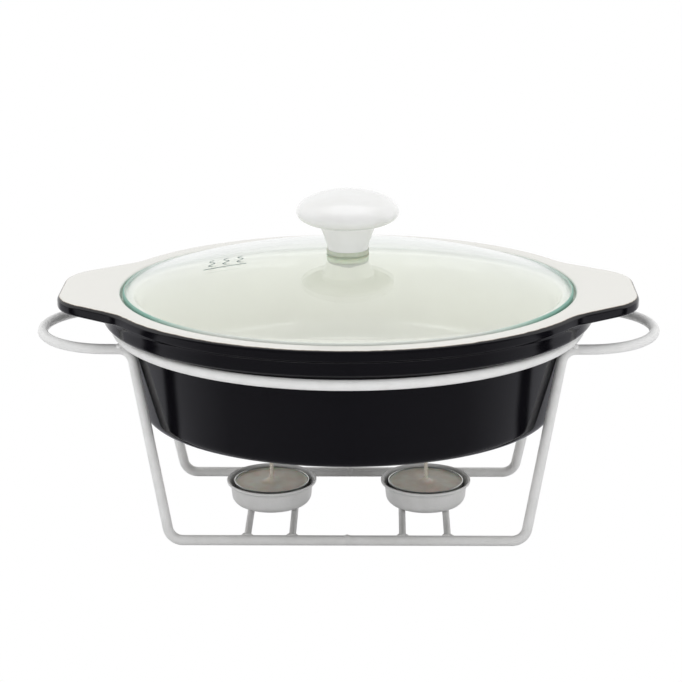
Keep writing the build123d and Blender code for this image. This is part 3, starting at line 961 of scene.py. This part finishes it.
def studio_floor():
    """White to the eye, plain to light, and in reflections a painted reflection that is dim in front, black
    in a narrow band at the sides and pale to white in the back half.
    """
    s = Shader("studio_floor", (0.88, 0.88, 0.88), 0.9)
    s.set("Specular IOR Level", 0.0)
    white = s.add("ShaderNodeEmission", Color=(*WHITE, 1.0)).outputs["Emission"]
    # The painted reflection's tones go round the object, by half turns from the front.
    sideways = s.math("ABSOLUTE", s.along(s.place(), "X"))
    forwards = s.math("MULTIPLY", s.along(s.place(), "Y"), -1.0)
    half_turns = s.math("DIVIDE", s.math("ARCTAN2", sideways, forwards), math.pi)
    front = [(0.0, (0.10, 0.10, 0.11)), (0.28, (0.15, 0.15, 0.16)), (0.44, PAINTED_REFLECTION_TONE)]
    # Painted dark reflection: a narrow black band just in front of the sides.
    painted_dark_reflection_band = [(0.458, (0.0, 0.0, 0.0)), (0.495, (0.0, 0.0, 0.0))]
    back = [(0.51, PAINTED_REFLECTION_TONE), (0.66, PAINTED_REFLECTION_TONE), (0.76, WHITE)]
    # The floor glows in these tones only for glossy rays, as a painted reflection.
    painted_reflection_glow = s.add("ShaderNodeEmission")
    s.join(s.ramp(half_turns, front + painted_dark_reflection_band + back), painted_reflection_glow.inputs["Color"])
    ray = s.add("ShaderNodeLightPath").outputs
    from_above = s.mix(ray["Is Glossy Ray"], white, painted_reflection_glow.outputs["Emission"])
    from_above = s.mix(ray["Is Diffuse Ray"], from_above, s.surface.outputs["BSDF"])
    # From below, the floor isn't there.
    below = s.add("ShaderNodeNewGeometry").outputs["Backfacing"]
    clear = s.add("ShaderNodeBsdfTransparent").outputs["BSDF"]
    s.join(s.mix(below, from_above, clear), s.output.inputs["Surface"])
    s.material.cycles.emission_sampling = "NONE"
    return s.material


def build_stage():
    """A wide floor under the object."""
    mesh = bpy.data.meshes.new("floor")
    half = FLOOR_SIZE / 2
    corners = [(-half, -half, 0), (half, -half, 0), (half, half, 0), (-half, half, 0)]
    mesh.from_pydata(corners, [], [(0, 1, 2, 3)])
    floor = bpy.data.objects.new("floor", mesh)
    bpy.context.scene.collection.objects.link(floor)
    mesh.materials.append(studio_floor())


def soft_light(name, place, target, size, watts):
    """A rectangular area light that faces its target."""
    light = bpy.data.lights.new(name, "AREA")
    light.shape = "RECTANGLE"
    light.size, light.size_y = size
    light.energy = watts
    lamp = bpy.data.objects.new(name, light)
    bpy.context.scene.collection.objects.link(lamp)
    lamp.location = place
    lamp.rotation_euler = (Vector(target) - Vector(place)).to_track_quat("-Z", "Y").to_euler()
    return lamp


def build_world():
    """A studio that is pale overhead and behind and dark at the camera's side."""
    world = bpy.data.worlds.new("studio")
    bpy.context.scene.world = world
    world.use_nodes = True
    w = Nodes(world.node_tree)
    way = w.add("ShaderNodeTexCoord").outputs["Generated"]
    lifted = w.math("MULTIPLY_ADD", w.along(way, "Z"), 0.25, w.along(way, "Y"))
    stops = [(0.40, (0.06, 0.06, 0.065)), (0.50, (1.05, 1.05, 1.05)), (0.62, (0.95, 0.95, 0.95))]
    tone = w.ramp(w.share(lifted, -1.0, 1.0), stops)
    # The eye sees plain white, through the glass too; the tones are for light and reflections.
    ray = w.add("ShaderNodeLightPath").outputs
    eye = w.math("MAXIMUM", ray["Is Camera Ray"], ray["Is Transmission Ray"])
    seen = w.add("ShaderNodeMix", data_type="RGBA")
    seen.inputs["B"].default_value = (*WHITE, 1.0)
    w.join(eye, seen.inputs["Factor"])
    w.join(tone, seen.inputs["A"])
    background = w.nodes["Background"]
    w.join(seen.outputs["Result"], background.inputs["Color"])
    background.inputs["Strength"].default_value = 1.0


def build_camera():
    """At the front, a little right of the middle and above, looking down at the dish."""
    camera = bpy.data.objects.new("camera", bpy.data.cameras.new("camera"))
    bpy.context.scene.collection.objects.link(camera)
    camera.data.lens = CAMERA_LENS
    camera.data.sensor_width = 36.0
    camera.data.clip_end = 50.0
    turned = Matrix.Rotation(CAMERA_PAN, 4, "Z") @ Matrix.Rotation(CAMERA_TILT, 4, "X")
    turned = turned @ Matrix.Rotation(CAMERA_ROLL, 4, "Z")
    camera.matrix_world = Matrix.Translation(CAMERA_PLACE) @ turned
    bpy.context.scene.camera = camera


build_stage()
build_world()
soft_light("overhead", place=(0.0, 0.30, 1.5), target=(0, 0, 0.1), size=(1.6, 1.0), watts=4.5)
for fill in (
    soft_light("front_fill", place=(0.1, -1.3, 1.35), target=(0, 0, 0.08), size=(2.4, 1.2), watts=4.0),
    soft_light("left_fill", place=(-1.5, -1.3, 0.45), target=(0, 0, 0.03), size=(1.6, 0.8), watts=13.0),
    soft_light("right_fill", place=(1.5, -1.3, 0.45), target=(0, 0, 0.03), size=(1.6, 0.8), watts=13.0),
):
    fill.visible_glossy = False
build_camera()
bpy.context.scene.view_settings.view_transform = "Standard"
